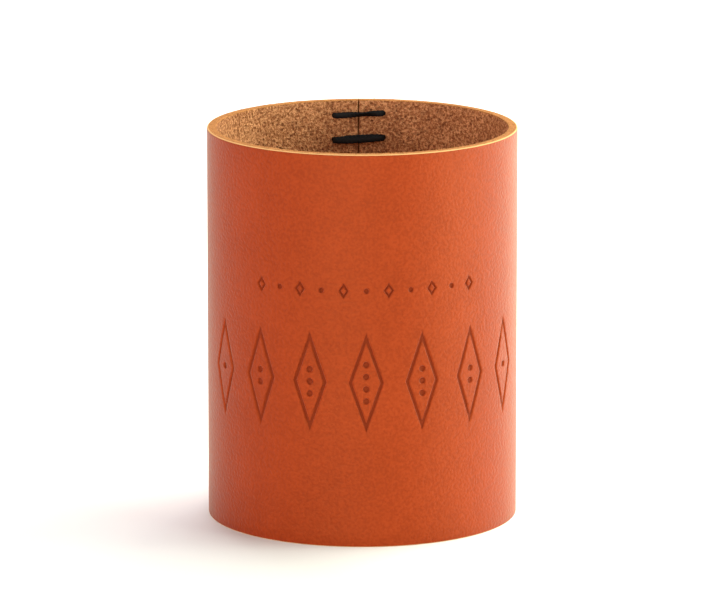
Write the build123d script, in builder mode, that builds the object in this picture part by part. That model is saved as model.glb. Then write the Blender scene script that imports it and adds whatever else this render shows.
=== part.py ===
"""Leather dice cup: a strip of leather rolled into a tube, laced edge to edge, with a base disc glued in.

Millimetres, +Z up. The origin is the middle of the lower edge, the edge the cup stands on. The pressed
pattern faces -Y and the laced seam faces +Y. Angles along the seam side are measured from +Y towards +X.
"""

import os
from math import cos, degrees, pi, sin, sqrt, tan

from build123d import *

# Driving dimensions of the leather tube
outer_diameter = 76.0
cup_height = 96.5
leather = 2.3
edge_bevel = 0.3
edge_softening = 0.2
seam_gap = 0.2

# Base disc, set in from the lower edge so that only the tube touches the table
base_thickness = 3.4
base_recess = 0.8
glue_line = 0.05

# Lacing: one flat waxed cord, crossed on the outside and laid straight across on the inside
lacing_rows = 15
row_pitch = 6.15
first_row_drop = 3.55
hole_from_seam = 6.36
hole_diameter = 2.0
cord_width = 1.5
cord_thickness = 0.55
cord_clearance = 0.03
cord_bend_radius = 0.45
bend_stations = 3
cross_stations = 6
knot_length = 3.4
knot_width = 2.4
knot_depth = 1.9
knot_rounding = 0.6

# Pressed pattern: a band of tall lozenges holding pips, under a row of small lozenges and pips
press_depth = 0.4
press_reach = 4.0
lozenge_width = 8.6
lozenge_height = 24.6
lozenge_stroke = 0.85
lozenge_middle = 40.675
lozenge_spacing = 20.98
pips_in_lozenges = (1, 2, 3, 4, 3, 2, 1)
pip_diameter = 1.6
pip_spacing = 3.0
border_middle = 63.3
border_spacing = 8.24
border_marks = 11
small_lozenge_width = 2.6
small_lozenge_height = 3.8
small_lozenge_stroke = 0.55
small_pip_diameter = 1.3

# Worked out from the above
outer_radius = outer_diameter / 2
inner_radius = outer_radius - leather
middle_radius = outer_radius - leather / 2
hole_angle = hole_from_seam / middle_radius
row_heights = [cup_height - first_row_drop - row * row_pitch for row in range(lacing_rows)]
strand_step = cord_thickness + cord_clearance
near_pass = (cord_thickness + cord_clearance) / 2
cord_edge_reach = sqrt(hole_diameter**2 - cord_width**2) / 2
mouth_angle = hole_angle - cord_edge_reach / inner_radius
inner_bar_y = inner_radius * cos(mouth_angle) - cord_clearance - cord_thickness / 2
outer_run_radius = outer_radius + cord_clearance + cord_thickness / 2


def facing(turn, radius, height):
    """A plane whose normal points outwards, turned from the front (-Y) towards +X, with its Y upwards."""
    angle = turn * pi / 180
    outwards = (sin(angle), -cos(angle), 0)
    return Plane(
        origin=(radius * outwards[0], radius * outwards[1], height),
        x_dir=(cos(angle), sin(angle), 0),
        z_dir=outwards,
    )


def lozenge_outline(width, height, stroke):
    """Adds the outline of an upright lozenge to the sketch being built."""
    Polygon((0, height / 2), (-width / 2, 0), (0, -height / 2), (width / 2, 0), align=None)
    offset(amount=-stroke, kind=Kind.INTERSECTION, mode=Mode.SUBTRACT)


# ---------------------------------------------------------------- the pressing tool, not a piece of the cup
with BuildPart() as press_tool:
    for place, pips in enumerate(pips_in_lozenges):
        turn = (place - (len(pips_in_lozenges) - 1) / 2) * lozenge_spacing
        with BuildSketch(facing(turn, outer_radius + 1, lozenge_middle)):
            lozenge_outline(lozenge_width, lozenge_height, lozenge_stroke)
            with GridLocations(0, pip_spacing, 1, pips):
                Circle(pip_diameter / 2)
        extrude(amount=-press_reach)
    for place in range(border_marks):
        turn = (place - (border_marks - 1) / 2) * border_spacing
        with BuildSketch(facing(turn, outer_radius + 1, border_middle)):
            if place % 2 == 0:
                lozenge_outline(small_lozenge_width, small_lozenge_height, small_lozenge_stroke)
            else:
                Circle(small_pip_diameter / 2)
        extrude(amount=-press_reach)
    with BuildSketch():
        Circle(outer_radius + press_reach)
        Circle(outer_radius - press_depth, mode=Mode.SUBTRACT)
    extrude(amount=cup_height, mode=Mode.INTERSECT)

# ---------------------------------------------------------------- the wall: one strip rolled into a tube
with BuildPart() as cup_wall:
    with BuildSketch():
        Circle(outer_radius)
        Circle(inner_radius, mode=Mode.SUBTRACT)
    extrude(amount=cup_height)
    rings = cup_wall.edges().filter_by(GeomType.CIRCLE).sort_by(SortBy.RADIUS)
    chamfer(rings[-2:], edge_bevel)
    fillet(cup_wall.edges().filter_by(GeomType.CIRCLE).sort_by(SortBy.RADIUS)[:2], edge_softening)
    with BuildSketch():
        with Locations((0, middle_radius)):
            Rectangle(seam_gap, 2 * leather)
    extrude(amount=cup_height, mode=Mode.SUBTRACT)
    for side in (-1, 1):
        with BuildSketch(facing(180 + side * degrees(hole_angle), outer_radius + 1, 0)):
            with Locations(*[(0, height) for height in row_heights]):
                Circle(hole_diameter / 2)
        extrude(amount=-(leather + 2), mode=Mode.SUBTRACT)
    add(press_tool.part, mode=Mode.SUBTRACT)
cup_wall.part.label = "cup_wall"

# ---------------------------------------------------------------- the base disc
with BuildPart() as base_disc:
    with BuildSketch(Plane.XY.offset(base_recess)):
        Circle(inner_radius - glue_line)
    extrude(amount=base_thickness)
    fillet(base_disc.edges().filter_by(GeomType.CIRCLE), edge_softening)
base_disc.part.label = "base_disc"


# ---------------------------------------------------------------- the lacing cord
def around(angle, radius, height):
    """A point at that angle from the seam."""
    return Vector(radius * sin(angle), radius * cos(angle), height)


def bend(corner, before, after):
    """Stations round a bend of the cord at that corner, each a point and the cord's direction there."""
    turn = before.get_angle(after) * pi / 180
    start = corner - before * (cord_bend_radius * tan(turn / 2))
    inwards = (after - before * before.dot(after)).normalized()
    stations = []
    for step in range(bend_stations + 1):
        angle = turn * step / bend_stations
        point = start + before * (cord_bend_radius * sin(angle))
        point += inwards * (cord_bend_radius * (1 - cos(angle)))
        stations.append((point, before * cos(angle) + inwards * sin(angle)))
    return stations


def strand(first_side, level):
    """Stations of one half of the cord, from the middle of the first row to its end in the last row.

    level 0 is the strand that lies on the leather, and level 1 the one that lies over it.
    """
    run_radius = outer_run_radius + level * strand_step
    bar_y = inner_bar_y - level * strand_step
    stations = []
    side = first_side
    for row, height in enumerate(row_heights):
        last = row == lacing_rows - 1
        # In a hole, the strand that lies on the leather passes on the seam's side of the other.
        shift = 0 if row == 0 else near_pass * (2 * level - 1)
        if row > 0:
            side = -side
            stations += bend(pass_point(side, shift, run_radius, height), crossing, -outwards(side))
            stations += bend(bar_corner(side, shift, bar_y, height), -outwards(side), Vector(-side, 0, 0))
            if last:
                stations.append((Vector(0, bar_y, height), Vector(-side, 0, 0)))
                return stations
            side = -side
        else:
            stations.append((Vector(0, inner_bar_y, height), Vector(side, 0, 0)))
        bar_here = bar_y if row > 0 else inner_bar_y
        stations += bend(bar_corner(side, shift, bar_here, height), Vector(side, 0, 0), outwards(side))
        corner = pass_point(side, shift, run_radius, height)
        next_shift = near_pass * (2 * level - 1)
        goal = pass_point(-side, next_shift, run_radius, height - row_pitch)
        from_angle, to_angle = angle_of(corner), angle_of(goal)
        leaving = run_direction(from_angle, from_angle, to_angle, run_radius)
        crossing = run_direction(to_angle, from_angle, to_angle, run_radius)
        stations += bend(corner, outwards(side), leaving)
        for step in range(1, cross_stations):
            share = step / cross_stations
            angle = from_angle + (to_angle - from_angle) * share
            point = around(angle, run_radius, height - row_pitch * share)
            stations.append((point, run_direction(angle, from_angle, to_angle, run_radius)))
    return stations


def outwards(side):
    """The direction of the holes on that side of the seam, pointing out of the cup."""
    return Vector(sin(side * hole_angle), cos(hole_angle), 0)


def pass_point(side, shift, radius, height):
    """A point on a strand's way through a hole, shifted away from the seam by shift."""
    along = Vector(cos(hole_angle), -side * sin(hole_angle), 0) * side
    return outwards(side) * radius + along * shift + Vector(0, 0, height)


def bar_corner(side, shift, bar_y, height):
    """Where a strand's way through a hole meets its straight run across the inside."""
    start = pass_point(side, shift, inner_radius, height)
    way = outwards(side)
    return start + way * ((bar_y - start.Y) / way.Y)


def angle_of(point):
    """The angle of a point from the seam."""
    return Vector(0, 1, 0).get_signed_angle(Vector(point.X, point.Y, 0), Vector(0, 0, -1)) * pi / 180


def run_direction(angle, from_angle, to_angle, radius):
    """The cord's direction at an angle of its slanting run down the outside of the seam."""
    sideways = Vector(cos(angle), -sin(angle), 0) * ((to_angle - from_angle) * radius)
    return (sideways + Vector(0, 0, -row_pitch)).normalized()


under = strand(1, 0)
over = strand(-1, 1)
cord_line = [(point, direction * -1) for point, direction in reversed(over)] + under[1:]

with BuildPart() as lacing_cord:
    for point, direction in cord_line:
        upwards = (Vector(0, 0, 1) - direction * direction.Z).normalized()
        with BuildSketch(Plane(origin=point, x_dir=upwards, z_dir=direction)):
            Rectangle(cord_width, cord_thickness)
    loft(ruled=True)
    with Locations((0, inner_bar_y - strand_step / 2, row_heights[-1])):
        Box(knot_length, knot_depth, knot_width)
    knot_edges = lacing_cord.edges().filter_by(Axis.X).filter_by(lambda e: abs(e.length - knot_length) < 0.01)
    fillet(knot_edges, knot_rounding)
lacing_cord.part.label = "lacing_cord"

cord_length = sum((b[0] - a[0]).length for a, b in zip(cord_line, cord_line[1:]))
print(f"lacing cord: {cord_length:.0f} mm long, {len(cord_line)} sections")

os.makedirs("parts", exist_ok=True)
for piece in (cup_wall, base_disc, lacing_cord):
    export_step(piece.part, f"parts/{piece.part.label}.step")
    print(piece.part.label, "volume", round(piece.part.volume, 1), "valid", piece.part.is_valid)
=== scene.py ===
"""The looks of the leather dice cup: a rolled and laced leather wall, its flat waxed cord and its base.

Everything is in metres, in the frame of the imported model: +Z up, the laced seam towards +Y and the middle of
the pressed pattern towards -Y. The wall is modelled as the flat strip that a maker cuts, presses and punches,
and is rolled up last. On the flat strip X runs along the outer face, from the middle of the pattern, Y goes
into the leather from its grain side, and Z is the height.
"""

from __future__ import annotations

import logging
from dataclasses import dataclass, field
from enum import Enum
from math import cos, exp, hypot, pi, radians, sin, tau
from typing import Callable, Iterable, Sequence

import bmesh
import bpy
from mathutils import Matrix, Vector, noise

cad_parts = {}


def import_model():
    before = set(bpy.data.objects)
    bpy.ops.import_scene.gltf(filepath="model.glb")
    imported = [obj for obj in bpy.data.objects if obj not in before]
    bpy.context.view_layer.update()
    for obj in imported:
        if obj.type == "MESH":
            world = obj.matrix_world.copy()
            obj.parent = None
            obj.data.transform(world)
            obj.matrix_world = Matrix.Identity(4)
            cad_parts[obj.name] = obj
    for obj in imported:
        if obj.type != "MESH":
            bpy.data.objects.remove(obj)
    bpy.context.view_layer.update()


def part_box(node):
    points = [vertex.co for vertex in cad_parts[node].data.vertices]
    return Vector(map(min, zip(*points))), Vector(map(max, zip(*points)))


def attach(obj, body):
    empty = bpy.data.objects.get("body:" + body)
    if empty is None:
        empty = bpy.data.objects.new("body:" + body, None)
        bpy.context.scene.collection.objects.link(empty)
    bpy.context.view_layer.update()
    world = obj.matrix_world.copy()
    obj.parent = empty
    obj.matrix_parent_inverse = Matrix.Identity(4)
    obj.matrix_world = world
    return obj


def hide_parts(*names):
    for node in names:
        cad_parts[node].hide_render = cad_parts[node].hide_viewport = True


log = logging.getLogger("dice_cup")

MM = 0.001
WELD = 0.002 * MM

Colour = tuple[float, float, float]
Place = Callable[[Vector], bool]


# ------------------------------------------------------------------------------------------------- workbench
class Part(Enum):
    """What is picked on a mesh."""

    VERTS = "VERT"
    EDGES = "EDGE"
    FACES = "FACE"


def lay_alone(piece: bpy.types.Object) -> None:
    """Makes the piece the only one selected, and the active one."""
    bpy.ops.object.select_all(action="DESELECT")
    piece.select_set(True)
    bpy.context.view_layer.objects.active = piece


class Workbench:
    """Edit-mode work on one mesh, whose parts are picked by their place."""

    def __init__(self, piece: bpy.types.Object) -> None:
        """Lays the piece on the bench."""
        self.piece = piece

    def __enter__(self) -> Workbench:
        """Opens the piece in edit mode, alone."""
        lay_alone(self.piece)
        bpy.ops.object.mode_set(mode="EDIT")
        bpy.ops.mesh.select_all(action="SELECT")
        return self

    def __exit__(self, *_: object) -> None:
        """Closes edit mode."""
        bpy.ops.object.mode_set(mode="OBJECT")

    def pick(self, part: Part, place: Place, only_open: bool = False) -> None:
        """Selects the parts that lie wholly at a place.

        Args:
            part: Whether vertices, edges or faces are picked.
            place: Says whether a corner is at the place.
            only_open: Leaves out edges that have a face on both sides.
        """
        bpy.ops.mesh.select_mode(type=part.value)
        bpy.ops.mesh.select_all(action="DESELECT")
        mesh = bmesh.from_edit_mesh(self.piece.data)
        elements = {Part.VERTS: mesh.verts, Part.EDGES: mesh.edges, Part.FACES: mesh.faces}[part]
        for element in elements:
            corners = (element,) if part is Part.VERTS else element.verts
            if only_open and len(element.link_faces) > 1:
                continue
            if all(place(corner.co) for corner in corners):
                element.select_set(True)
        bmesh.update_edit_mesh(self.piece.data)

    def fill(self, place: Place) -> None:
        """Closes the flat area between the open edges at a place, leaving what they ring inside it open."""
        self.pick(Part.EDGES, place, only_open=True)
        bpy.ops.mesh.fill(use_beauty=True)

    def score(self, places: Iterable[float]) -> None:
        """Cuts the mesh across X at each place, so that it can be rolled."""
        for place in places:
            bpy.ops.mesh.select_all(action="SELECT")
            bpy.ops.mesh.bisect(plane_co=(place, 0, 0), plane_no=(1, 0, 0))

    def sink(self, stations: Sequence[tuple[float, float]]) -> None:
        """Insets the picked face again and again, to a profile.

        Args:
            stations: Distance in from the face's first outline and depth, for each new outline. The first
                station is the outline that is there.
        """
        for (across, depth), (next_across, next_depth) in zip(stations, stations[1:]):
            bpy.ops.mesh.inset(thickness=next_across - across, depth=depth - next_depth)

    def weld(self) -> None:
        """Merges doubled corners and turns all faces outwards."""
        bpy.ops.mesh.select_all(action="SELECT")
        bpy.ops.mesh.remove_doubles(threshold=WELD)
        bpy.ops.mesh.normals_make_consistent(inside=False)


def settle(piece: bpy.types.Object, name: str = "") -> bpy.types.Object:
    """Puts the piece's place, turn and size into its mesh, and names it."""
    lay_alone(piece)
    bpy.ops.object.transform_apply(location=True, rotation=True, scale=True)
    if name:
        piece.name = name
        piece.data.name = name
    return piece


def joined(pieces: Sequence[bpy.types.Object]) -> bpy.types.Object:
    """Joins pieces into the first of them and returns it."""
    lay_alone(pieces[0])
    for piece in pieces:
        piece.select_set(True)
    bpy.ops.object.join()
    return pieces[0]


def copied(piece: bpy.types.Object, shift: Vector) -> bpy.types.Object:
    """Returns a copy of the piece with its own mesh, moved by shift."""
    lay_alone(piece)
    bpy.ops.object.duplicate()
    copy = bpy.context.object
    copy.location = shift
    return settle(copy)


def discard(piece: bpy.types.Object) -> None:
    """Removes a piece that was only copied from."""
    bpy.data.objects.remove(piece)


def apply_modifiers(piece: bpy.types.Object) -> None:
    """Applies the piece's modifiers in order."""
    lay_alone(piece)
    for modifier in list(piece.modifiers):
        bpy.ops.object.modifier_apply(modifier=modifier.name)


def upright_shape(corners: int, half_width: float, half_height: float, fill: str) -> bpy.types.Object:
    """Adds a round or four-cornered outline that faces -Y.

    Args:
        corners: 4 for a lozenge, more for a circle.
        half_width: Half its size along X.
        half_height: Half its size along Z.
        fill: NGON or NOTHING, as the circle primitive names them.

    Returns:
        The new piece, with its middle at the origin.
    """
    bpy.ops.object.select_all(action="DESELECT")
    bpy.ops.mesh.primitive_circle_add(vertices=corners, radius=1, fill_type=fill, rotation=(pi / 2, 0, 0))
    bpy.ops.transform.resize(value=(half_width, 1, half_height))
    return settle(bpy.context.object)


# ------------------------------------------------------------------------------------------- shader building
class Signal:
    """A shader value that takes part in Python arithmetic by adding Math nodes."""

    def __init__(self, shop: PaintShop, socket: bpy.types.NodeSocket) -> None:
        """Wraps a socket."""
        self.shop = shop
        self.socket = socket

    def _math(self, operation: str, *terms: Signal | float) -> Signal:
        """Adds a Math node on these terms."""
        values = {place: term for place, term in enumerate(terms)}
        return self.shop.node("ShaderNodeMath", {"operation": operation}, values).out()

    def __add__(self, other: Signal | float) -> Signal:
        """self + other"""
        return self._math("ADD", self, other)

    def __radd__(self, other: float) -> Signal:
        """other + self"""
        return self._math("ADD", other, self)

    def __sub__(self, other: Signal | float) -> Signal:
        """self - other"""
        return self._math("SUBTRACT", self, other)

    def __rsub__(self, other: float) -> Signal:
        """other - self"""
        return self._math("SUBTRACT", other, self)

    def __mul__(self, other: Signal | float) -> Signal:
        """self * other"""
        return self._math("MULTIPLY", self, other)

    def __rmul__(self, other: float) -> Signal:
        """other * self"""
        return self._math("MULTIPLY", other, self)

    def __pow__(self, other: Signal | float) -> Signal:
        """self to the power of other"""
        return self._math("POWER", self, other)

    def __rpow__(self, other: float) -> Signal:
        """other to the power of self"""
        return self._math("POWER", other, self)

    def between(self, low: float, high: float) -> Signal:
        """Returns 0 at low and 1 at high, smoothly, and flat beyond them."""
        values = {"Value": self, "From Min": low, "From Max": high}
        settings = {"interpolation_type": "SMOOTHSTEP"}
        return self.shop.node("ShaderNodeMapRange", settings, values).out("Result")


class Node:
    """One shader node, with its outputs at hand as signals."""

    def __init__(self, shop: PaintShop, node: bpy.types.Node) -> None:
        """Wraps a node."""
        self.shop = shop
        self.node = node

    def out(self, name: str | int = 0) -> Signal:
        """Returns an output, by name or number."""
        return Signal(self.shop, self.node.outputs[name])


class PaintShop:
    """The node tree of one material."""

    def __init__(self, name: str) -> None:
        """Makes a new material with a Principled shader."""
        self.material = bpy.data.materials.new(name)
        self.material.use_nodes = True
        self.tree = self.material.node_tree
        self.tree.nodes.clear()
        self.shader = self.tree.nodes.new("ShaderNodeBsdfPrincipled")
        output = self.tree.nodes.new("ShaderNodeOutputMaterial")
        self.tree.links.new(self.shader.outputs["BSDF"], output.inputs["Surface"])

    def node(self, kind: str, settings: dict | None = None, inputs: dict | None = None) -> Node:
        """Adds a node.

        Args:
            kind: The node's type.
            settings: Its own settings. A ramp takes its stops as (place, colour) pairs under "stops".
            inputs: Values or signals for its sockets, by name or number.

        Returns:
            The new node.
        """
        made = self.tree.nodes.new(kind)
        for name, value in (settings or {}).items():
            if name == "stops":
                self._set_stops(made.color_ramp, value)
            else:
                setattr(made, name, value)
        for name, value in (inputs or {}).items():
            self.feed(made.inputs[name], value)
        return Node(self, made)

    @staticmethod
    def _set_stops(ramp: bpy.types.ColorRamp, stops: Sequence[tuple[float, Colour]]) -> None:
        """Gives a colour ramp these stops."""
        while len(ramp.elements) < len(stops):
            ramp.elements.new(1.0)
        for element, (place, colour) in zip(ramp.elements, stops):
            element.position = place
            element.color = (*colour, 1.0)

    def feed(self, socket: bpy.types.NodeSocket, value: Signal | float | Sequence[float]) -> None:
        """Links a signal to a socket, or sets its value."""
        if isinstance(value, Signal):
            self.tree.links.new(value.socket, socket)
        elif socket.type == "RGBA":
            socket.default_value = (*value, 1.0)
        else:
            socket.default_value = value

    def set(self, **sockets: Signal | float | Sequence[float]) -> None:
        """Feeds the Principled shader's sockets, named with _ for a space."""
        for name, value in sockets.items():
            self.feed(self.shader.inputs[name.replace("_", " ")], value)

    def place(self) -> Signal:
        """Returns the point on the piece, in the object's own frame."""
        return self.node("ShaderNodeTexCoord").out("Object")

    def attribute(self, name: str) -> Signal:
        """Returns a number stored on the mesh."""
        return self.node("ShaderNodeAttribute", {"attribute_name": name}).out("Fac")

    def noise(self, place: Signal, size: float, detail: float = 2.0, roughness: float = 0.5) -> Signal:
        """Returns soft noise from 0 to 1 whose lumps are about size across."""
        values = {"Vector": place, "Scale": 1 / size, "Detail": detail, "Roughness": roughness}
        return self.node("ShaderNodeTexNoise", None, values).out("Fac")

    def cells(self, place: Signal, size: float) -> Signal:
        """Returns the distance to the nearest of scattered points size apart."""
        values = {"Vector": place, "Scale": 1 / size}
        return self.node("ShaderNodeTexVoronoi", None, values).out("Distance")

    def mix(self, share: Signal | float, first: Signal | Colour, second: Signal | Colour) -> Signal:
        """Returns a colour between first and second."""
        settings = {"data_type": "RGBA", "clamp_factor": True}
        return self.node("ShaderNodeMix", settings, {0: share, 6: first, 7: second}).out(2)

    def tint(self, share: Signal, stops: Sequence[tuple[float, Colour]]) -> Signal:
        """Returns the colour at share along a ramp."""
        return self.node("ShaderNodeValToRGB", {"stops": stops}, {"Fac": share}).out("Color")

    def relief(self, height: Signal, depth: float, under: Signal | None = None) -> Signal:
        """Returns a bumped normal for a height from 0 to 1 that stands depth high."""
        values = {"Height": height, "Distance": depth}
        if under is not None:
            values["Normal"] = under
        return self.node("ShaderNodeBump", None, values).out("Normal")


# -------------------------------------------------------------------------------------------------- finishes
@dataclass(frozen=True)
class GrainLeather:
    """The dyed and lightly glazed grain side."""

    dye: Colour = (0.268, 0.0258, 0.0030)
    dye_deep: Colour = (0.222, 0.0188, 0.0018)
    dye_light: Colour = (0.318, 0.0335, 0.0052)
    pressed: Colour = (0.150, 0.0095, 0.0012)
    shine_tint: Colour = (1.0, 0.45, 0.19)
    haze_tint: Colour = (0.95, 1.0, 0.70)
    cloud_size: float = 22 * MM
    mottle_size: float = 3.5 * MM
    pore_size: float = 0.55 * MM

    def material(self) -> bpy.types.Material:
        """Builds the finish: cloudy dye, fine pores, and darker burnished marks where it was pressed."""
        shop = PaintShop("grain_leather")
        place = shop.place()
        clouds = shop.noise(place, self.cloud_size, detail=3)
        mottle = shop.noise(place, self.mottle_size, detail=4, roughness=0.6)
        pores = shop.cells(place, self.pore_size)
        fine = shop.noise(place, self.pore_size * 1.35, detail=1, roughness=0.5)
        shade = clouds.between(0.3, 0.7) * 0.25 + mottle.between(0.25, 0.75) * 0.2
        shade = shade + fine.between(0.3, 0.7) * 0.55
        dye = shop.tint(shade, [(0.0, self.dye_deep), (0.5, self.dye), (1.0, self.dye_light)])
        dye = shop.mix((1 - pores.between(0.0, 0.35)) * 0.35, dye, self.dye_deep)
        pressed = shop.attribute("pressed")
        dye = shop.mix(pressed.between(0.55, 1.0) * 0.85, dye, self.pressed)
        skin = shop.relief(fine * 0.88 + pores.between(0.0, 0.5) * 0.12, 0.165 * MM)
        skin = shop.relief(mottle, 0.05 * MM, skin)
        shop.set(Base_Color=dye, Normal=skin, Specular_IOR_Level=0.5, Specular_Tint=self.shine_tint)
        shop.set(Sheen_Weight=0.15, Sheen_Roughness=0.40, Sheen_Tint=self.haze_tint)
        shop.set(Roughness=0.44 + fine.between(0.2, 0.8) * 0.1 + pressed.between(0.05, 0.6) * 0.12)
        return shop.material


@dataclass(frozen=True)
class FleshSide:
    """The napped flesh side."""

    # light is the painted highlight on the raised nap; dark is the painted shade in the hollows and pits
    light: Colour = (0.82, 0.390, 0.176)
    middle: Colour = (0.42, 0.163, 0.066)
    dark: Colour = (0.20, 0.062, 0.024)
    lump_size: float = 0.68 * MM
    cloud_size: float = 9 * MM

    def material(self) -> bpy.types.Material:
        """Builds the finish: matted tan fibres with cloudy tone, a painted highlight on the raised nap and
        painted shade in the pits between them.
        """
        shop = PaintShop("flesh_side")
        place = shop.place()
        lumps = shop.noise(place, self.lump_size, detail=3, roughness=0.65)
        fibres = shop.noise(place, self.lump_size * 0.4, detail=2, roughness=0.6)
        clouds = shop.noise(place, self.cloud_size, detail=2)
        pits = 1 - shop.cells(place, self.lump_size * 1.6).between(0.08, 0.42)
        nap = lumps * 0.65 + fibres * 0.35
        # painted light and shade: the colour follows the nap, which is also the bump's height, so raised nap
        # is painted lighter and hollows darker; the clouds add real tone
        shade = nap.between(0.35, 0.64) * 0.85 + clouds.between(0.3, 0.7) * 0.15
        colour = shop.tint(shade, [(0.0, self.dark), (0.45, self.middle), (1.0, self.light)])
        # painted shade: the pits, which the bump also sinks, are darkened further
        colour = shop.mix(pits * 0.55, colour, self.dark)
        shop.set(Base_Color=colour, Roughness=0.9, Specular_IOR_Level=0.08)
        shop.set(Normal=shop.relief(nap - pits * 0.4, 0.9 * MM))
        return shop.material


@dataclass(frozen=True)
class CutEdge:
    """Raw cut leather: tan fibres, paler where the dyed grain was skived off, that pale line also carrying a
    painted highlight on the bevel.
    """

    radius: float
    core: Colour = (0.50, 0.205, 0.060)
    core_dark: Colour = (0.26, 0.094, 0.026)
    pale: Colour = (0.72, 0.425, 0.180)
    fibre_size: float = 0.45 * MM
    pale_band: float = 0.30 * MM

    def material(self) -> bpy.types.Material:
        """Builds the finish: fine fibres, with a pale line along the grain side that is partly lighter fibres
        and partly a painted highlight.
        """
        shop = PaintShop("cut_edge")
        place = shop.place()
        fibres = shop.noise(place, self.fibre_size, detail=3, roughness=0.65)
        colour = shop.mix(fibres.between(0.3, 0.62), self.core_dark, self.core)
        parts = shop.node("ShaderNodeSeparateXYZ", None, {0: place})
        radius = (parts.out("X") ** 2.0 + parts.out("Y") ** 2.0) ** 0.5
        # pale line near the outer radius: partly the lighter cut fibres, partly a painted highlight on the
        # grain-side bevel
        band = radius.between(self.radius - 1.4 * self.pale_band, self.radius - self.pale_band)
        colour = shop.mix(band, colour, self.pale)
        shop.set(Base_Color=colour, Roughness=0.9, Specular_IOR_Level=0.06)
        shop.set(Normal=shop.relief(fibres, 0.12 * MM))
        return shop.material


@dataclass(frozen=True)
class WaxedCord:
    """Black flat braid, soaked in wax."""

    black: Colour = (0.0020, 0.0019, 0.0022)
    # the colour of the painted highlight on the raised ply tops
    ply_highlight: Colour = (0.022, 0.021, 0.022)
    ply_size: float = 0.3 * MM

    def material(self) -> bpy.types.Material:
        """Builds the finish: black plies with a painted highlight on their tops, duller in patches."""
        shop = PaintShop("waxed_cord")
        place = shop.place()
        plies = shop.noise(place, self.ply_size, detail=2, roughness=0.6)
        wax = shop.noise(place, self.ply_size * 6, detail=2)
        tops = shop.attribute("ply_top")
        # painted highlight: the colour is lightened on the raised ply tops, in patches set by the wax and ply
        # noise
        ply_highlight = tops.between(0.55, 1.0) * wax.between(0.35, 0.75) * plies.between(0.35, 0.7)
        shop.set(Base_Color=shop.mix(ply_highlight, self.black, self.ply_highlight))
        shop.set(Roughness=0.48 + wax.between(0.3, 0.7) * 0.2, Specular_IOR_Level=0.22)
        shop.set(Normal=shop.relief(plies, 0.04 * MM))
        return shop.material


@dataclass(frozen=True)
class StudioFloor:
    """Plain white paper."""

    white: Colour = (0.862, 0.86, 0.87)

    def material(self) -> bpy.types.Material:
        """Builds the finish: matt white with the faintest tooth."""
        shop = PaintShop("studio_floor")
        tooth = shop.noise(shop.place(), 1.2 * MM, detail=2)
        shop.set(Base_Color=self.white, Roughness=0.9, Specular_IOR_Level=0.1)
        shop.set(Normal=shop.relief(tooth, 0.01 * MM))
        return shop.material


# ------------------------------------------------------------------------------------------ the rolled wall
class Side(Enum):
    """The finishes of a piece of leather, in the order of its material slots."""

    GRAIN = 0
    FLESH = 1
    CUT = 2


def add_finishes(piece: bpy.types.Object, radius: float) -> None:
    """Gives a round piece of leather of that radius its three finishes, in the order of Side."""
    for finish in (GrainLeather(), FleshSide(), CutEdge(radius)):
        piece.data.materials.append(finish.material())


class Mark(Enum):
    """The marks of the pressed pattern's upper row."""

    LOZENGE = "lozenge"
    PIP = "pip"


class Block(Enum):
    """The kinds of block that are set into the strip, each with its columns and rows of the grid."""

    LOZENGE = (24, 10)
    BORDER = (10, 3)
    HOLE = (8, 2)


@dataclass
class Press:
    """The pressed pattern's sizes."""

    depth: float = 0.4 * MM
    lozenge: tuple[float, float] = (8.6 * MM, 24.6 * MM)
    stroke: float = 0.85 * MM
    pip: float = 1.6 * MM
    pip_scale: float = 0.75
    pip_spacing: float = 3.0 * MM
    small_lozenge: tuple[float, float] = (2.6 * MM, 3.8 * MM)
    small_stroke: float = 0.55 * MM
    small_pip: float = 1.3 * MM
    small_scale: float = 0.62
    pip_corners: int = 20
    outer_margin: float = 0.7 * MM
    inner_margin: float = 0.2 * MM
    lip: tuple[tuple[float, float], ...] = (
        (-0.20, 0.0),
        (-0.06, 0.10),
        (0.03, 0.45),
        (0.10, 0.85),
        (0.20, 1.0),
    )

    def lip_stations(self, scale: float) -> list[tuple[float, float]]:
        """Returns the rounded lip of a mark as distance in from its outline, and depth."""
        return [(across * scale * MM, share * self.depth) for across, share in self.lip]

    @staticmethod
    def half_size(size: tuple[float, float], inwards: float) -> tuple[float, float]:
        """Returns half the width and height of a lozenge of that size whose sides are moved inwards."""
        half_width, half_height = size[0] / 2, size[1] / 2
        share = 1 - inwards * hypot(half_width, half_height) / (half_width * half_height)
        return half_width * share, half_height * share

    def line_width(self, stroke: float, scale: float) -> float:
        """Returns how far in from a mark's outline its pressed line and lips reach, flat margin and all."""
        return stroke - self.lip[0][0] * scale * MM + self.inner_margin * scale

    def outline_mark(self, size: tuple[float, float], stroke: float, scale: float) -> bpy.types.Object:
        """Presses the outline of a lozenge into a small flat patch.

        Args:
            size: The lozenge's width and height, outside its stroke.
            stroke: How wide the pressed line is.
            scale: The size of the line's lips.

        Returns:
            The patch: an outline on the flat leather, the pressed line, and the flat face inside it.
        """
        margin = self.outer_margin * scale
        patch = upright_shape(4, *self.half_size(size, -margin), "NGON")
        lips = self.lip_stations(scale)
        far_lips = [(stroke - across, depth) for across, depth in reversed(lips)]
        with Workbench(patch) as bench:
            bench.sink([(-margin, 0.0), *lips, *far_lips, (self.line_width(stroke, scale), 0.0)])
        return patch

    def pip_mark(self, diameter: float, scale: float) -> bpy.types.Object:
        """Presses a round pip into a small flat patch and returns the patch."""
        margin = self.inner_margin * scale - self.lip[0][0] * scale * MM
        radius = diameter / 2 + margin
        patch = upright_shape(self.pip_corners, radius, radius, "NGON")
        floor = (0.8 * diameter / 2, self.depth * 1.02)
        with Workbench(patch) as bench:
            bench.sink([(-margin, 0.0), *self.lip_stations(scale), floor])
        return patch


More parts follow.
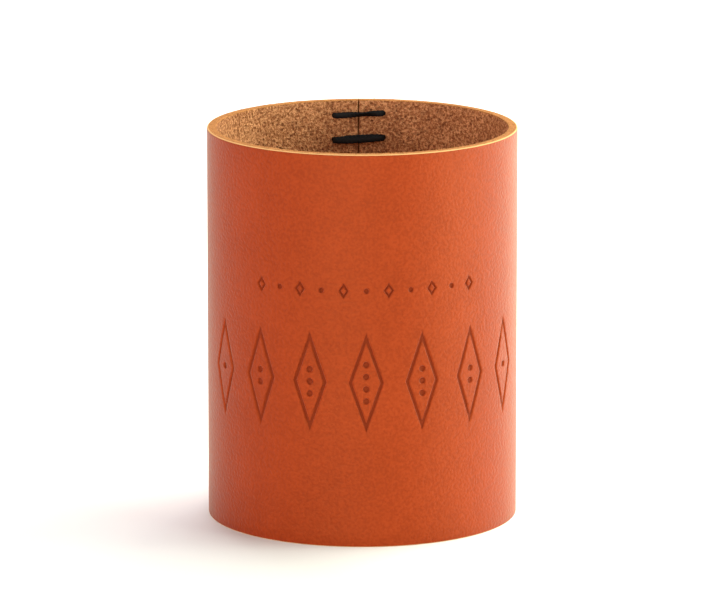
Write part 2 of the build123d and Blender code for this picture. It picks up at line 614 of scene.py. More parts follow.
@dataclass
class Tile:
    """A block of the strip's grid, made once with a mark or hole in it and then copied."""

    columns: int
    rows: int
    column_width: float
    row_height: float

    @property
    def width(self) -> float:
        """Its size along X."""
        return self.columns * self.column_width

    @property
    def height(self) -> float:
        """Its size along Z."""
        return self.rows * self.row_height

    def rim(self, depth: float = 0.0) -> bpy.types.Object:
        """Returns the block's bare outline at a depth, with a corner at each line of the grid."""
        bpy.ops.object.select_all(action="DESELECT")
        bpy.ops.mesh.primitive_plane_add(size=1, rotation=(pi / 2, 0, 0), location=(0, depth, 0))
        bpy.ops.transform.resize(value=(self.width, 1, self.height))
        outline = settle(bpy.context.object)
        top, side = self.height / 2 - WELD, self.width / 2 - WELD
        with Workbench(outline) as bench:
            bpy.ops.mesh.delete(type="ONLY_FACE")
            bench.pick(Part.EDGES, lambda at: at.z > top)
            bpy.ops.mesh.subdivide(number_cuts=self.columns - 1)
            bench.pick(Part.EDGES, lambda at: at.z < -top)
            bpy.ops.mesh.subdivide(number_cuts=self.columns - 1)
            for way in (-1, 1):
                bench.pick(Part.EDGES, lambda at, way=way: at.x * way > side)
                bpy.ops.mesh.subdivide(number_cuts=self.rows - 1)
        return outline

    def score_lines(self) -> list[float]:
        """Returns every second of the grid's columns inside the block."""
        half = self.columns // 2
        return [column * self.column_width for column in range(2 - half, half, 2)]


@dataclass
class Wall:
    """The leather strip, rolled into a tube."""

    radius: float
    height: float
    leather: float = 2.3 * MM
    seam_gap: float = 0.2 * MM
    columns: int = 480
    lacing_rows: int = 15
    row_pitch: float = 6.15 * MM
    first_row_drop: float = 3.55 * MM
    hole_column: int = 13
    hole_radius: float = 0.62 * MM
    hole_corners: int = 20
    hole_skew: float = 0.22 * MM
    seam_squeeze: float = 0.104 * MM
    seam_shoulder: float = 0.10 * MM
    seam_groove: float = 0.30 * MM
    seam_opening: float = 0.14 * MM
    seam_wander: float = 0.26 * MM
    wander_length: float = 7 * MM
    plies: int = 6
    grain_bevel: float = 0.33 * MM
    flesh_bevel: float = 0.18 * MM
    lozenge_step: int = 28
    lozenge_row: int = 12
    border_step: int = 11
    border_marks: int = 11
    border_row: int = 18
    border_height: float = 63.3 * MM
    pattern_rows: tuple[int, int] = (6, 22)
    plain_columns: int = 20
    pips: tuple[int, ...] = (1, 2, 3, 4, 3, 2, 1)
    fray_depth: float = 0.09 * MM
    fray_seed: int = 7
    press: Press = field(default_factory=Press)

    @property
    def length(self) -> float:
        """The strip's length along its grain side."""
        return tau * self.radius - self.seam_gap

    @property
    def column_width(self) -> float:
        """The grid's step along the strip."""
        return self.length / self.columns

    @property
    def row_height(self) -> float:
        """The grid's step up the strip: two to each row of lacing holes."""
        return self.row_pitch / 2

    @property
    def lacing_heights(self) -> list[float]:
        """The heights of the rows of holes, from the rim down."""
        top = self.height - self.first_row_drop
        return [top - row * self.row_pitch for row in range(self.lacing_rows)]

    def row_line(self, row: int) -> float:
        """Returns the height of a line of the grid, counted from below the lowest holes."""
        return self.lacing_heights[-1] + (row - 1) * self.row_height

    def tile(self, block: Block) -> Tile:
        """Returns the piece of this strip's grid that a kind of block takes up."""
        return Tile(*block.value, self.column_width, self.row_height)

    # ---- blocks
    def lozenge_block(self, pips: int) -> bpy.types.Object:
        """Returns the block with a tall lozenge and its pips."""
        tile = self.tile(Block.LOZENGE)
        patch = self.press.outline_mark(self.press.lozenge, self.press.stroke, 1.0)
        half_width, half_height = self.press.half_size(
            self.press.lozenge, self.press.line_width(self.press.stroke, 1.0)
        )

        def inside(at: Vector) -> bool:
            """Whether a corner lies in or on the outline of the flat face inside the pressed line."""
            return abs(at.x) / half_width + abs(at.z) / half_height < 1.01

        with Workbench(patch) as bench:
            bench.pick(Part.FACES, inside)
            bpy.ops.mesh.delete(type="ONLY_FACE")
        pip = self.press.pip_mark(self.press.pip, self.press.pip_scale)
        heights = [(place - (pips - 1) / 2) * self.press.pip_spacing for place in range(pips)]
        marks = [copied(pip, Vector((0, 0, height))) for height in heights]
        discard(pip)
        block = joined([tile.rim(), patch, *marks])
        with Workbench(block) as bench:
            bench.fill(inside)
            bench.fill(lambda at: not inside(at))
            bench.score(tile.score_lines())
        return block

    def border_block(self, mark: Mark) -> bpy.types.Object:
        """Returns the block with a mark of the upper row."""
        tile = self.tile(Block.BORDER)
        press = self.press
        if mark is Mark.LOZENGE:
            patch = press.outline_mark(press.small_lozenge, press.small_stroke, press.small_scale)
        else:
            patch = press.pip_mark(press.small_pip, press.small_scale)
        middle = self.row_line(self.border_row) + tile.height / 2
        patch.location.z = self.border_height - middle
        block = joined([tile.rim(), settle(patch)])
        with Workbench(block) as bench:
            bench.fill(lambda at: True)
            bench.score(tile.score_lines())
        return block

    def hole_block(self, side: int) -> bpy.types.Object:
        """Returns the block with a lacing hole, punched through and drawn tight round the cord.

        Args:
            side: 1 for the end of the strip at +X, where the cord holds the holes a little high, -1 for the
                other, where it holds them a little low.

        Returns:
            The block, open at the hole and as deep as the leather.
        """
        tile = self.tile(Block.HOLE)
        # each ring of the hole, as its share of the hole's radius and its depth
        stations = (
            (1.20, 0.0),
            (1.10, 0.05 * MM),
            (1.02, 0.20 * MM),
            (1.00, 0.45 * MM),
            (1.00, self.leather - 0.3 * MM),
            (1.05, self.leather - 0.08 * MM),
            (1.15, self.leather),
            (1.40, self.leather),
        )
        share, depth = 1.45, 0.0
        start = share * self.hole_radius
        tunnel = upright_shape(self.hole_corners, start, start, "NOTHING")
        with Workbench(tunnel):
            for next_share, next_depth in stations:
                bpy.ops.mesh.extrude_region_move(TRANSFORM_OT_translate={"value": (0, next_depth - depth, 0)})
                bpy.ops.transform.resize(value=(next_share / share, 1, next_share / share))
                share, depth = next_share, next_depth
        tunnel.location.z = side * self.hole_skew
        block = joined([tile.rim(), tile.rim(self.leather), settle(tunnel)])
        with Workbench(block) as bench:
            bench.fill(lambda at: at.y < WELD)
            bench.fill(lambda at: at.y > self.leather - WELD)
            bench.score(tile.score_lines())
        return block

    # ---- the strip
    def strip(self) -> bpy.types.Object:
        """Returns the plain strip, as thick as the leather, with its long edges bevelled and a shoulder scored
        near each end.
        """
        bpy.ops.object.select_all(action="DESELECT")
        bpy.ops.mesh.primitive_grid_add(
            x_subdivisions=self.columns, y_subdivisions=1, size=1, rotation=(pi / 2, 0, 0)
        )
        bpy.ops.transform.resize(value=(self.length, 1, self.height))
        bpy.context.object.location.z = self.height / 2
        strip = settle(bpy.context.object)
        with Workbench(strip) as bench:
            for row in range(2 * self.lacing_rows + 1):
                bpy.ops.mesh.select_all(action="SELECT")
                bpy.ops.mesh.bisect(plane_co=(0, 0, self.row_line(row)), plane_no=(0, 0, 1))
            bench.score((self.seam_shoulder - self.length / 2, self.length / 2 - self.seam_shoulder))
            bpy.ops.mesh.select_all(action="SELECT")
            for _ in range(self.plies):
                step = (0, self.leather / self.plies, 0)
                bpy.ops.mesh.extrude_region_move(TRANSFORM_OT_translate={"value": step})
            for side, bevel in ((0.0, self.grain_bevel), (self.leather, self.flesh_bevel)):
                for level in (0.0, self.height):
                    bench.pick(Part.EDGES, lambda at: abs(at.y - side) < WELD and abs(at.z - level) < WELD)
                    bpy.ops.mesh.bevel(offset=bevel, segments=3, affect="EDGES", clamp_overlap=False)
        return strip

    def roll(self, strip: bpy.types.Object) -> None:
        """Rolls the strip up about the cup's axis, grain side out."""
        bpy.context.view_layer.update()
        bend = strip.modifiers.new("roll", "SIMPLE_DEFORM")
        bend.deform_method = "BEND"
        bend.deform_axis = "Z"
        bend.angle = strip.dimensions.x / self.radius
        apply_modifiers(strip)
        strip.location.y = -self.radius
        settle(strip)

    def places(self) -> dict[Block, list[tuple[float, float]]]:
        """Returns the middle of each kind of block, along the strip and in height."""
        hole_x = self.length / 2 - self.hole_column * self.column_width
        border_z = self.row_line(self.border_row) + self.tile(Block.BORDER).height / 2
        span = (len(self.pips) - 1) / 2
        lozenges = [
            ((place - span) * self.lozenge_step * self.column_width, self.row_line(self.lozenge_row))
            for place in range(len(self.pips))
        ]
        span = (self.border_marks - 1) / 2
        border = [
            ((place - span) * self.border_step * self.column_width, border_z)
            for place in range(self.border_marks)
        ]
        holes = [(side * hole_x, height) for side in (-1, 1) for height in self.lacing_heights]
        return {Block.LOZENGE: lozenges, Block.BORDER: border, Block.HOLE: holes}

    def build(self) -> bpy.types.Object:
        """Models the wall: the strip with its blocks set in and its finishes given, rolled up."""
        strip = self.strip()
        places = self.places()
        border_blocks = {mark: self.border_block(mark) for mark in Mark}
        lozenge_blocks = {count: self.lozenge_block(count) for count in sorted(set(self.pips))}
        hole_blocks = {side: self.hole_block(side) for side in (-1, 1)}
        blocks = [copied(hole_blocks[1 if x > 0 else -1], Vector((x, 0, z))) for x, z in places[Block.HOLE]]
        for count, (x, z) in zip(self.pips, places[Block.LOZENGE]):
            blocks.append(copied(lozenge_blocks[count], Vector((x, 0, z))))
        for place, (x, z) in enumerate(places[Block.BORDER]):
            mark = Mark.LOZENGE if place % 2 == 0 else Mark.PIP
            blocks.append(copied(border_blocks[mark], Vector((x, 0, z))))
        for block in (*hole_blocks.values(), *lozenge_blocks.values(), *border_blocks.values()):
            discard(block)
        self.cut_out(strip, places)
        wall = joined([strip, *blocks])
        with Workbench(wall) as bench:
            bench.weld()
        self.note_pressing(wall)
        self.give_finishes(wall)
        self.close_ends(wall)
        self.roll(wall)
        self.fray(wall)
        bpy.ops.object.shade_smooth()
        return settle(wall, "leather_wall")

    def cut_out(self, strip: bpy.types.Object, places: dict[Block, list[tuple[float, float]]]) -> None:
        """Removes the strip's plain faces where the blocks go."""

        def within(at: Vector, block: Block) -> bool:
            """Whether a point lies in one of the blocks of a kind."""
            tile = self.tile(block)
            return any(
                abs(at.x - x) < tile.width / 2 and abs(at.z - z) < tile.height / 2 for x, z in places[block]
            )

        with Workbench(strip):
            bpy.ops.mesh.select_mode(type="FACE")
            bpy.ops.mesh.select_all(action="DESELECT")
            mesh = bmesh.from_edit_mesh(strip.data)
            for face in mesh.faces:
                middle = face.calc_center_median()
                on_grain, on_flesh = middle.y < WELD, middle.y > self.leather - WELD
                if on_grain or on_flesh:
                    cut = Block if on_grain else (Block.HOLE,)
                    face.select_set(any(within(middle, block) for block in cut))
            bmesh.update_edit_mesh(strip.data)
            bpy.ops.mesh.delete(type="FACE")

    def note_pressing(self, strip: bpy.types.Object) -> None:
        """Stores on the flat strip how deeply each corner of the pattern is pressed, from 0 to 1."""
        lowest, highest = (self.row_line(row) for row in self.pattern_rows)
        reach = self.length / 2 - self.plain_columns * self.column_width
        values = [
            min(1.0, at.co.y / self.press.depth)
            if at.co.y < 1.1 * self.press.depth and lowest < at.co.z < highest and abs(at.co.x) < reach
            else 0.0
            for at in strip.data.vertices
        ]
        strip.data.attributes.new("pressed", "FLOAT", "POINT").data.foreach_set("value", values)

    def give_finishes(self, strip: bpy.types.Object) -> None:
        """Gives the flat strip's faces the finish of their side, and its edges and holes the cut finish."""
        add_finishes(strip, self.radius)
        grain_depth, flesh_depth = 1.2 * self.press.depth, self.leather - 0.5 * self.flesh_bevel
        side, low, high = self.length / 2 - WELD, self.grain_bevel / 2, self.height - self.grain_bevel / 2
        for face in strip.data.polygons:
            middle = face.center
            on_a_side = abs(middle.x) < side and low < middle.z < high
            if on_a_side and middle.y < grain_depth and face.normal.y < -0.2:
                face.material_index = Side.GRAIN.value
            elif on_a_side and middle.y > flesh_depth and face.normal.y > 0.2:
                face.material_index = Side.FLESH.value
            else:
                face.material_index = Side.CUT.value

    def close_ends(self, strip: bpy.types.Object) -> None:
        """Draws the strip's two ends together into a wandering seam, closed on the grain side."""
        end = self.length / 2 - WELD
        for vertex in strip.data.vertices:
            at = vertex.co
            if abs(at.x) > end:
                side = 1 if at.x > 0 else -1
                wander = noise.noise(Vector((0, 0, at.z / self.wander_length))) * self.seam_wander
                opening = self.seam_opening if at.y > self.leather / 2 else 0.0
                at.x += side * (self.seam_squeeze - opening) + wander
                at.y = min(max(at.y, self.seam_groove), self.leather - self.seam_groove)
        strip.data.update()

    def fray(self, wall: bpy.types.Object) -> None:
        """Roughens the raw rim and lower edge of the rolled wall, without going below its standing plane."""
        raw_radius = self.radius - self.grain_bevel - WELD
        low, high = 1.2 * self.flesh_bevel, self.height - 1.2 * self.flesh_bevel

        def raw(at: Vector) -> bool:
            """Whether a corner is on the raw part of the rim or of the lower edge."""
            return not low <= at.z <= high and hypot(at.x, at.y) < raw_radius

        with Workbench(wall) as bench:
            bench.pick(Part.VERTS, raw)
            bpy.ops.transform.vertex_random(offset=self.fray_depth, seed=self.fray_seed)
        for vertex in wall.data.vertices:
            vertex.co.z = max(vertex.co.z, 0.0)


# ------------------------------------------------------------------------------------------------- the base
@dataclass
class Base:
    """The leather disc glued inside the lower end, grain side down."""

    radius: float
    bottom: float
    top: float
    edge_softening: float = 0.25 * MM
    ring_step: float = 2.6 * MM
    unevenness: float = 0.05 * MM
    seed: int = 3
    corners: int = 160

    def build(self) -> bpy.types.Object:
        """Models the disc: softened edges, and faces that are a little uneven, as flat leather is."""
        bpy.ops.object.select_all(action="DESELECT")
        bpy.ops.mesh.primitive_cylinder_add(
            vertices=self.corners,
            radius=self.radius,
            depth=self.top - self.bottom,
            location=(0, 0, (self.top + self.bottom) / 2),
        )
        disc = settle(bpy.context.object, "base_leather")
        rings = int((self.radius - 2 * self.edge_softening) / self.ring_step)
        rim = self.radius - 2 * WELD
        with Workbench(disc) as bench:
            for level in (self.bottom, self.top):
                bench.pick(Part.FACES, lambda at, level=level: abs(at.z - level) < WELD)
                bpy.ops.mesh.inset(thickness=2 * self.edge_softening)
                for _ in range(rings):
                    bpy.ops.mesh.inset(thickness=self.ring_step)
            for level in (self.bottom, self.top):
                bench.pick(
                    Part.EDGES, lambda at, level=level: abs(at.z - level) < WELD and hypot(at.x, at.y) > rim
                )
                bpy.ops.mesh.bevel(offset=self.edge_softening, segments=3, affect="EDGES")
            inside = self.radius - 2 * self.ring_step
            bench.pick(Part.VERTS, lambda at: hypot(at.x, at.y) < inside)
            bpy.ops.transform.vertex_random(offset=self.unevenness, seed=self.seed)
        add_finishes(disc, self.radius)
        for face in disc.data.polygons:
            face.material_index = Side.CUT.value
            if abs(face.normal.z) > 0.7:
                face.material_index = Side.FLESH.value if face.normal.z > 0 else Side.GRAIN.value
        bpy.ops.object.shade_smooth()
        return disc


# ------------------------------------------------------------------------------------------- the lacing cord
@dataclass
class Lacing:
    """One flat waxed cord, crossed over the seam outside and laid straight across it inside."""

    wall: Wall
    width: float = 1.5 * MM
    thickness: float = 0.55 * MM
    clearance: float = 0.03 * MM
    mouth_reach: float = 0.66 * MM
    pass_shift: float = 0.29 * MM
    corner_reach: float = 1.1 * MM
    run_shares: tuple[float, ...] = (0.3, 0.5, 0.7)
    bar_spread: float = 0.30 * MM
    bar_slope: float = 0.30 * MM
    unevenness: float = 0.10 * MM
    station_step: float = 0.22 * MM
    profile_corners: int = 14
    edge_bluntness: float = 0.55
    face_bluntness: float = 0.75
    end_taper: tuple[float, ...] = (0.35, 0.75, 0.93, 1.0)
    plait_length: float = 1.1 * MM
    plait_relief: float = 0.09 * MM
    plait_slant: float = 2.4
    twist_place: float = 1.0 * MM
    twist_reach: float = 2.2 * MM
    twist_turn: float = 0.78
    hole_width: float = 1.12 * MM
    fullness_alone: float = 1.9
    fullness_shared: float = 1.05
    knot_turns: float = 1.5
    knot_steps: int = 8
    knot_radius: float = 0.5 * MM
    knot_half_length: float = 1.7 * MM
    tail: float = 4.5 * MM
    tail_rises: tuple[float, float] = (0.55, 0.30)
    bulge: float = 0.15 * MM
    seed: int = 11

    @property
    def hole_angle(self) -> float:
        """The angle of the holes from the seam."""
        wall = self.wall
        return (wall.seam_gap / 2 + wall.hole_column * wall.column_width) / wall.radius

    @property
    def level_step(self) -> float:
        """How much further out a strand lies where it is laid over another."""
        return self.thickness + self.clearance

    @property
    def bar_y(self) -> float:
        """Where a bar that lies on the leather runs across the inside."""
        inner = self.wall.radius - self.wall.leather
        mouth = self.hole_angle - self.mouth_reach / inner
        return inner * cos(mouth) - self.clearance - self.thickness / 2

    def through(self, side: int, shift: float, radius: float, height: float) -> Vector:
        """Returns a point on the way through a hole.

        Args:
            side: 1 for the holes towards +X of the seam, -1 for the others.
            shift: How far it lies on the side of the hole away from the seam.
            radius: Its distance from the cup's axis.
            height: Its height.
        """
        turn = side * self.hole_angle
        return Vector((sin(turn) * radius, cos(turn) * radius, height)) + Vector(
            (side * cos(turn), -side * sin(turn), 0)
        ) * shift

    def outside(self, along: float, radius: float, height: float) -> Vector:
        """Returns a point at that distance along the leather from the seam."""
        turn = along / self.wall.radius
        return Vector((sin(turn) * radius, cos(turn) * radius, height))

    def hole(
        self, side: int, shift: float, level: int, height: float, tilt: float, inwards: bool
    ) -> list[Vector]:
        """Returns the guide points of a way through a hole, between the bar inside and the run outside.

        Args:
            side: The side of the hole, as through has it.
            shift: How far the strand lies on the side of the hole away from the seam.
            level: The strand's level.
            height: The row's height.
            tilt: How much higher than the row the bar starts.
            inwards: Whether the cord comes in or goes out.
        """
        wall = self.wall
        hole_z = height + side * wall.hole_skew
        points = [
            self.through(side, shift, self.run_radius(level), hole_z),
            self.through(side, shift, wall.radius - wall.leather / 2, hole_z),
            Vector((side * self.bar_end(shift, level), self.bar_level(level), height + tilt * 0.9)),
        ]
        return points if inwards else points[::-1]

    def run_radius(self, level: int) -> float:
        """Returns how far from the axis a strand runs outside: level 1 is laid over level 0."""
        return self.wall.radius + self.clearance + self.thickness / 2 + level * self.level_step

    def bar_level(self, level: int) -> float:
        """Returns the Y of a bar inside: level 1 is laid over level 0."""
        return self.bar_y - level * self.level_step

    def bar_end(self, shift: float, level: int) -> float:
        """Returns how far from the seam a strand meets its bar."""
        return self.through(1, shift, self.bar_level(level) / cos(self.hole_angle), 0).x

    def bar(self, side: int, shift: float, level: int, height: float, tilt: float) -> list[Vector]:
        """Returns the guide points of half a bar, from the hole on that side to the seam."""
        y, end = self.bar_level(level), self.bar_end(shift, level)
        spread = self.bar_spread * (1 - 2 * level) + (noise.random() - 0.5) * self.unevenness
        return [
            Vector((side * (end - self.corner_reach), y, height + tilt * 0.95 + spread * 0.35)),
            Vector((side * end * 0.42, y, height + tilt * 0.45 + spread)),
        ]

    def strand(self, first_side: int, level: int) -> list[Vector]:
        """Returns the guide points of one half of the cord, from the middle of the first row to the knot.

        Args:
            first_side: The side of the hole that it first goes out of.
            level: 0 for the strand that lies on the leather, 1 for the one laid over it.
        """
        wall = self.wall
        run_radius = self.run_radius(level)
        top, *rows = wall.lacing_heights
        side = first_side
        tilt = side * self.bar_slope
        end = self.bar_end(0, 0)
        points = [
            Vector((side * 0.2 * MM, self.bar_y - self.bulge, top)),
            Vector((side * end * 0.5, self.bar_y, top + tilt * 0.5)),
            Vector((side * (end - self.corner_reach), self.bar_y, top + tilt * 0.9)),
            *self.hole(side, 0, 0, top, tilt, inwards=False),
        ]
        shift = self.pass_shift * (2 * level - 1)
        reach = self.hole_angle * wall.radius
        for height in rows:
            start = points[-1].z
            goal = height - side * wall.hole_skew
            drift = (noise.random() - 0.5) * 2 * self.unevenness
            near = self.corner_reach / (2 * reach)
            for share in (near, *self.run_shares, 1 - near):
                fall = start + (goal - start) * share + drift * sin(pi * share)
                points.append(self.outside(side * reach * (1 - 2 * share), run_radius, fall))
            side = -side
            tilt = side * self.bar_slope
            points += self.hole(side, shift, level, height, tilt, inwards=True)
            points += self.bar(side, shift, level, height, tilt)
            if height != rows[-1]:
                side = -side
                points += self.bar(side, shift, level, height, -tilt)[::-1]
                points += self.hole(side, shift, level, height, -tilt, inwards=False)
        return points + self.knot(side, self.bar_level(level), rows[-1])

    def knot(self, side: int, bar_y: float, height: float) -> list[Vector]:
        """Returns the guide points of a strand's end: wound round the other strand, and its short tail.

        Args:
            side: The side that the strand comes from.
            bar_y: Not used.
            height: The row's height.
        """
        middle_y = self.bar_y - self.level_step / 2 - self.knot_radius * 0.6
        steps = int(self.knot_steps * self.knot_turns)
        points = []
        for step in range(steps + 1):
            turn = tau * self.knot_turns * step / steps + (0 if side > 0 else pi)
            along = side * self.knot_half_length * (1 - 2 * step / steps)
            across, rise = self.knot_radius * cos(turn), self.knot_radius * sin(turn)
            points.append(Vector((along, middle_y + across, height + rise)))
        last = points[-1]
        rise = self.tail_rises[0 if side > 0 else 1]
        points.append(last + Vector((-side * 0.4, -0.25, rise * 0.5)) * self.tail)
        points.append(last + Vector((-side * 0.8, -0.40, rise)) * self.tail)
        return points

    @staticmethod
    def follow(points: Sequence[Vector]) -> list[Vector]:
        """Returns close points along the smooth line that has these guide points."""
        curve = bpy.data.curves.new("cord_line", "CURVE")
        curve.dimensions = "3D"
        curve.resolution_u = 8
        spline = curve.splines.new("NURBS")
        spline.points.add(len(points) - 1)
        for point, place in zip(spline.points, points):
            point.co = (*place, 1.0)
        spline.order_u = 3
        spline.use_endpoint_u = True
        line = bpy.data.objects.new("cord_line", curve)
        mesh = bpy.data.meshes.new_from_object(line)
        places = [vertex.co.copy() for vertex in mesh.vertices]
        bpy.data.objects.remove(line)
        bpy.data.curves.remove(curve)
        bpy.data.meshes.remove(mesh)
        return places

    def stations(self, line: Sequence[Vector]) -> list[tuple[Vector, Vector, float]]:
        """Returns evenly spaced stations along a line, each as place, direction and distance run."""
        runs = [(end - start).length for start, end in zip(line, line[1:])]
        total = sum(runs)
        count = int(total / self.station_step)
        places: list[Vector] = []
        passed, place = 0.0, 0
        for station in range(count + 1):
            goal = min(total * station / count, total - 1e-9)
            while passed + runs[place] < goal:
                passed += runs[place]
                place += 1
            places.append(line[place].lerp(line[place + 1], (goal - passed) / runs[place]))
        made = []
        for number, at in enumerate(places):
            before, after = places[max(0, number - 1)], places[min(count, number + 1)]
            made.append((at, (after - before).normalized(), total * number / count))
        return made

    def twist(self, at: Vector) -> float:
        """Returns how far the cord is turned about itself: only in the first bar, beside the seam."""
        first = self.wall.lacing_heights[0]
        if at.y > self.bar_y + self.thickness or at.z < first - self.wall.row_pitch / 3:
            return 0.0
        return self.twist_turn * exp(-(((at.x - self.twist_place) / self.twist_reach) ** 2))

    def squeeze(self, at: Vector) -> tuple[float, float]:
        """Returns how a hole squeezes the cord: factors for its width and its thickness."""
        wall = self.wall
        from_middle = abs(hypot(at.x, at.y) - (wall.radius - wall.leather / 2))
        share = 1 - min(1.0, max(0.0, (from_middle - wall.leather * 0.3) / (wall.leather * 0.25)))
        alone = at.z > wall.lacing_heights[0] - wall.row_pitch / 4
        fullness = self.fullness_alone if alone else self.fullness_shared
        return 1 + (self.hole_width / self.width - 1) * share, 1 + (fullness - 1) * share

    def section(self, distance: float, end_share: float) -> list[tuple[float, float, float]]:
        """Returns the cord's cross-section, plaited.

        Args:
            distance: How far along the cord it is, which sets the phase of the plait.
            end_share: 1 in the cord's length, and less towards its sealed ends.

        Returns:
            For each corner its place across the width, its place through the thickness and its ply height.
        """
        corners = []
        phase = tau * distance / self.plait_length
        for corner in range(self.profile_corners):
            turn = tau * (corner + 0.5) / self.profile_corners
            across, rise = cos(turn), sin(turn)
            wide = abs(across) ** self.edge_bluntness * (1 if across > 0 else -1)
            thick = abs(rise) ** self.face_bluntness * (1 if rise > 0 else -1)
            slant = self.plait_slant * abs(wide) * (1 if rise > 0 else -1)
            ply = 0.5 + 0.5 * cos(phase + slant + (pi if wide > 0 else 0))
            relief = (ply - 0.7) * self.plait_relief
            corners.append(
                (
                    (wide * self.width / 2 + across * relief) * end_share,
                    (thick * self.thickness / 2 + rise * relief) * end_share,
                    ply,
                )
            )
        return corners

    def sweep(self, line: Sequence[Vector]) -> bpy.types.Object:
        """Models the cord along a line, its width kept upright wherever the line allows."""
        vertices: list[Vector] = []
        tops: list[float] = []
        stations = self.stations(line)
        last = len(stations) - 1
        for number, (at, ahead, distance) in enumerate(stations):
            upright = (Vector((0, 0, 1)) - ahead * ahead.z).normalized()
            across = ahead.cross(upright)
            turn = self.twist(at)
            wide = upright * cos(turn) + across * sin(turn)
            deep = across * cos(turn) - upright * sin(turn)
            from_end = min(number, last - number)
            end_share = self.end_taper[min(from_end, len(self.end_taper) - 1)]
            narrow, thick = self.squeeze(at)
            for width, depth, ply in self.section(distance, end_share):
                vertices.append(at + wide * width * narrow + deep * depth * thick)
                tops.append(ply)
        count = self.profile_corners
        faces = [
            (
                station * count + corner,
                station * count + (corner + 1) % count,
                (station + 1) * count + (corner + 1) % count,
                (station + 1) * count + corner,
            )
            for station in range(last)
            for corner in range(count)
        ]
        faces.append(tuple(reversed(range(count))))
        faces.append(tuple(range(last * count, (last + 1) * count)))
        mesh = bpy.data.meshes.new("waxed_cord")
        mesh.from_pydata(vertices, [], faces)
        mesh.attributes.new("ply_top", "FLOAT", "POINT").data.foreach_set("value", tops)
        cord = bpy.data.objects.new("waxed_cord", mesh)
        bpy.context.scene.collection.objects.link(cord)
        with Workbench(cord) as bench:
            bench.weld()
        bpy.ops.object.shade_smooth()
        return cord

    def build(self) -> bpy.types.Object:
        """Models the whole cord, from one tail of the knot up through the first row and down to the other."""
        noise.seed_set(self.seed)
        under = self.strand(1, 0)
        over = self.strand(-1, 1)
        cord = self.sweep(self.follow(over[::-1] + under))
        cord.data.materials.append(WaxedCord().material())
        return cord


# ------------------------------------------------------------------------------------------------ the studio
@dataclass(frozen=True)
class Softbox:
    """A soft rectangular lamp."""

    name: str
    place: tuple[float, float, float]
    aim: tuple[float, float, float]
    size: tuple[float, float]
    watts: float
    colour: Colour = (1.0, 1.0, 1.0)

    def light(self) -> None:
        """Puts the lamp in the studio."""
        lamp = bpy.data.lights.new(self.name, "AREA")
        lamp.shape = "RECTANGLE"
        lamp.size, lamp.size_y = self.size
        lamp.energy = self.watts
        lamp.color = self.colour
        holder = bpy.data.objects.new(self.name, lamp)
        bpy.context.scene.collection.objects.link(holder)
        holder.location = self.place
        back = Vector(self.place) - Vector(self.aim)
        holder.rotation_euler = back.to_track_quat("Z", "Y").to_euler()


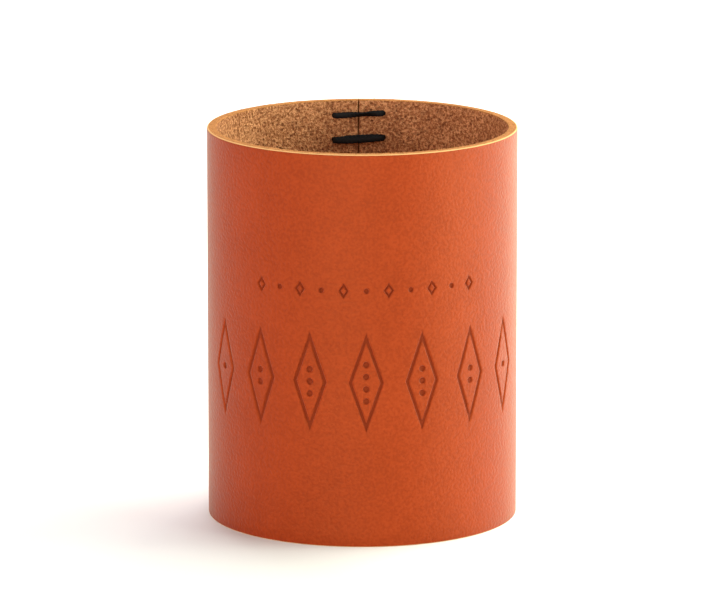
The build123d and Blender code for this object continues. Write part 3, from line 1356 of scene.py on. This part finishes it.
@dataclass
class Studio:
    """White paper, soft light from the right, and a long lens from a little above."""

    middle: float
    camera_distance: float = 1.5177
    camera_height: float = 0.3789
    camera_turn: float = radians(-1.45)
    aim_height: float = 51.0 * MM
    aim_side: float = -0.56 * MM
    low_aim_height: float = -1.2
    lens: float = 315.65
    sensor_width: float = 36.0
    view_reach: float = 20.0
    floor_size: float = 6.0
    sky: float = 0.05

    def set_up(self) -> None:
        """Lays the paper, hangs the lamps and places the camera."""
        self.lay_paper()
        self.light()
        self.place_camera()

    def lay_paper(self) -> None:
        """Lays the white paper, which is no piece of the cup."""
        bpy.ops.object.select_all(action="DESELECT")
        bpy.ops.mesh.primitive_plane_add(size=self.floor_size)
        floor = settle(bpy.context.object, "studio_floor")
        floor.data.materials.append(StudioFloor().material())

    def light(self) -> None:
        """Hangs the lamps and lights the sky."""
        aim, low_aim = (0.0, 0.0, self.middle), (0.0, 0.0, self.low_aim_height)
        lamps = (
            Softbox("key", (0.62, 0.16, 0.42), low_aim, (0.50, 0.60), 7.1, (0.92, 1.0, 0.84)),
            Softbox("key_behind", (0.58, 0.36, 0.30), aim, (0.40, 0.45), 0.7, (0.88, 1.0, 0.80)),
            Softbox("rim_light", (0.42, 0.55, 0.35), aim, (0.40, 0.50), 4.2, (1.0, 0.93, 0.78)),
            Softbox("side_fill", (0.70, -0.25, 0.34), low_aim, (0.50, 0.50), 4.7, (0.92, 1.0, 0.88)),
            Softbox("side_low", (0.62, -0.28, 0.11), (0.0, 0.0, -0.1), (0.50, 0.18), 1.5, (0.78, 1.0, 0.80)),
            Softbox("left_fill", (-0.75, -0.25, 0.35), aim, (0.50, 0.50), 3.3, (1.0, 0.78, 0.66)),
            Softbox("high_fill", (-0.30, -0.90, 0.50), aim, (0.80, 0.80), 3.1),
            Softbox("low_fill", (-0.25, -0.95, 0.15), aim, (0.90, 0.26), 4.4),
            Softbox("paper_light", (0.0, 1.70, 1.30), (0.0, 1.30, 0.0), (1.60, 1.20), 47.0),
        )
        for lamp in lamps:
            lamp.light()
        world = bpy.data.worlds.new("studio")
        world.use_nodes = True
        backdrop = world.node_tree.nodes["Background"]
        backdrop.inputs["Color"].default_value = (1, 1, 1, 1)
        backdrop.inputs["Strength"].default_value = self.sky
        bpy.context.scene.world = world
        bpy.context.scene.view_settings.view_transform = "Standard"

    def place_camera(self) -> None:
        """Places the camera and aims it at the cup's middle."""
        camera = bpy.data.objects.new("camera", bpy.data.cameras.new("camera"))
        bpy.context.scene.collection.objects.link(camera)
        turn = self.camera_turn
        camera.location = Vector(
            (sin(turn) * self.camera_distance, -cos(turn) * self.camera_distance, self.camera_height)
        )
        aim = Vector((cos(turn) * self.aim_side, sin(turn) * self.aim_side, self.aim_height))
        camera.rotation_euler = (camera.location - aim).to_track_quat("Z", "Y").to_euler()
        camera.data.lens = self.lens
        camera.data.sensor_width = self.sensor_width
        camera.data.clip_end = self.view_reach
        bpy.context.scene.camera = camera


def hand_over(piece: bpy.types.Object, node: str) -> None:
    """Lets a finished piece stand for its CAD node."""
    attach(piece, "root")
    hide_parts(node)
    log.info("%s: %d faces, for %s", piece.name, len(piece.data.polygons), node)


def main() -> None:
    """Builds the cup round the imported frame."""
    logging.basicConfig(level=logging.INFO, format="%(name)s: %(message)s")
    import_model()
    wall_low, wall_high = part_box("cup_wall")
    base_low, base_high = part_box("base_disc")
    wall = Wall(radius=wall_high.x, height=wall_high.z - wall_low.z)
    base = Base(radius=base_high.x, bottom=base_low.z, top=base_high.z)
    lacing = Lacing(wall)
    hand_over(wall.build(), "cup_wall")
    hand_over(base.build(), "base_disc")
    hand_over(lacing.build(), "lacing_cord")
    Studio(middle=wall.height / 2).set_up()


if __name__ == "__main__":
    main()
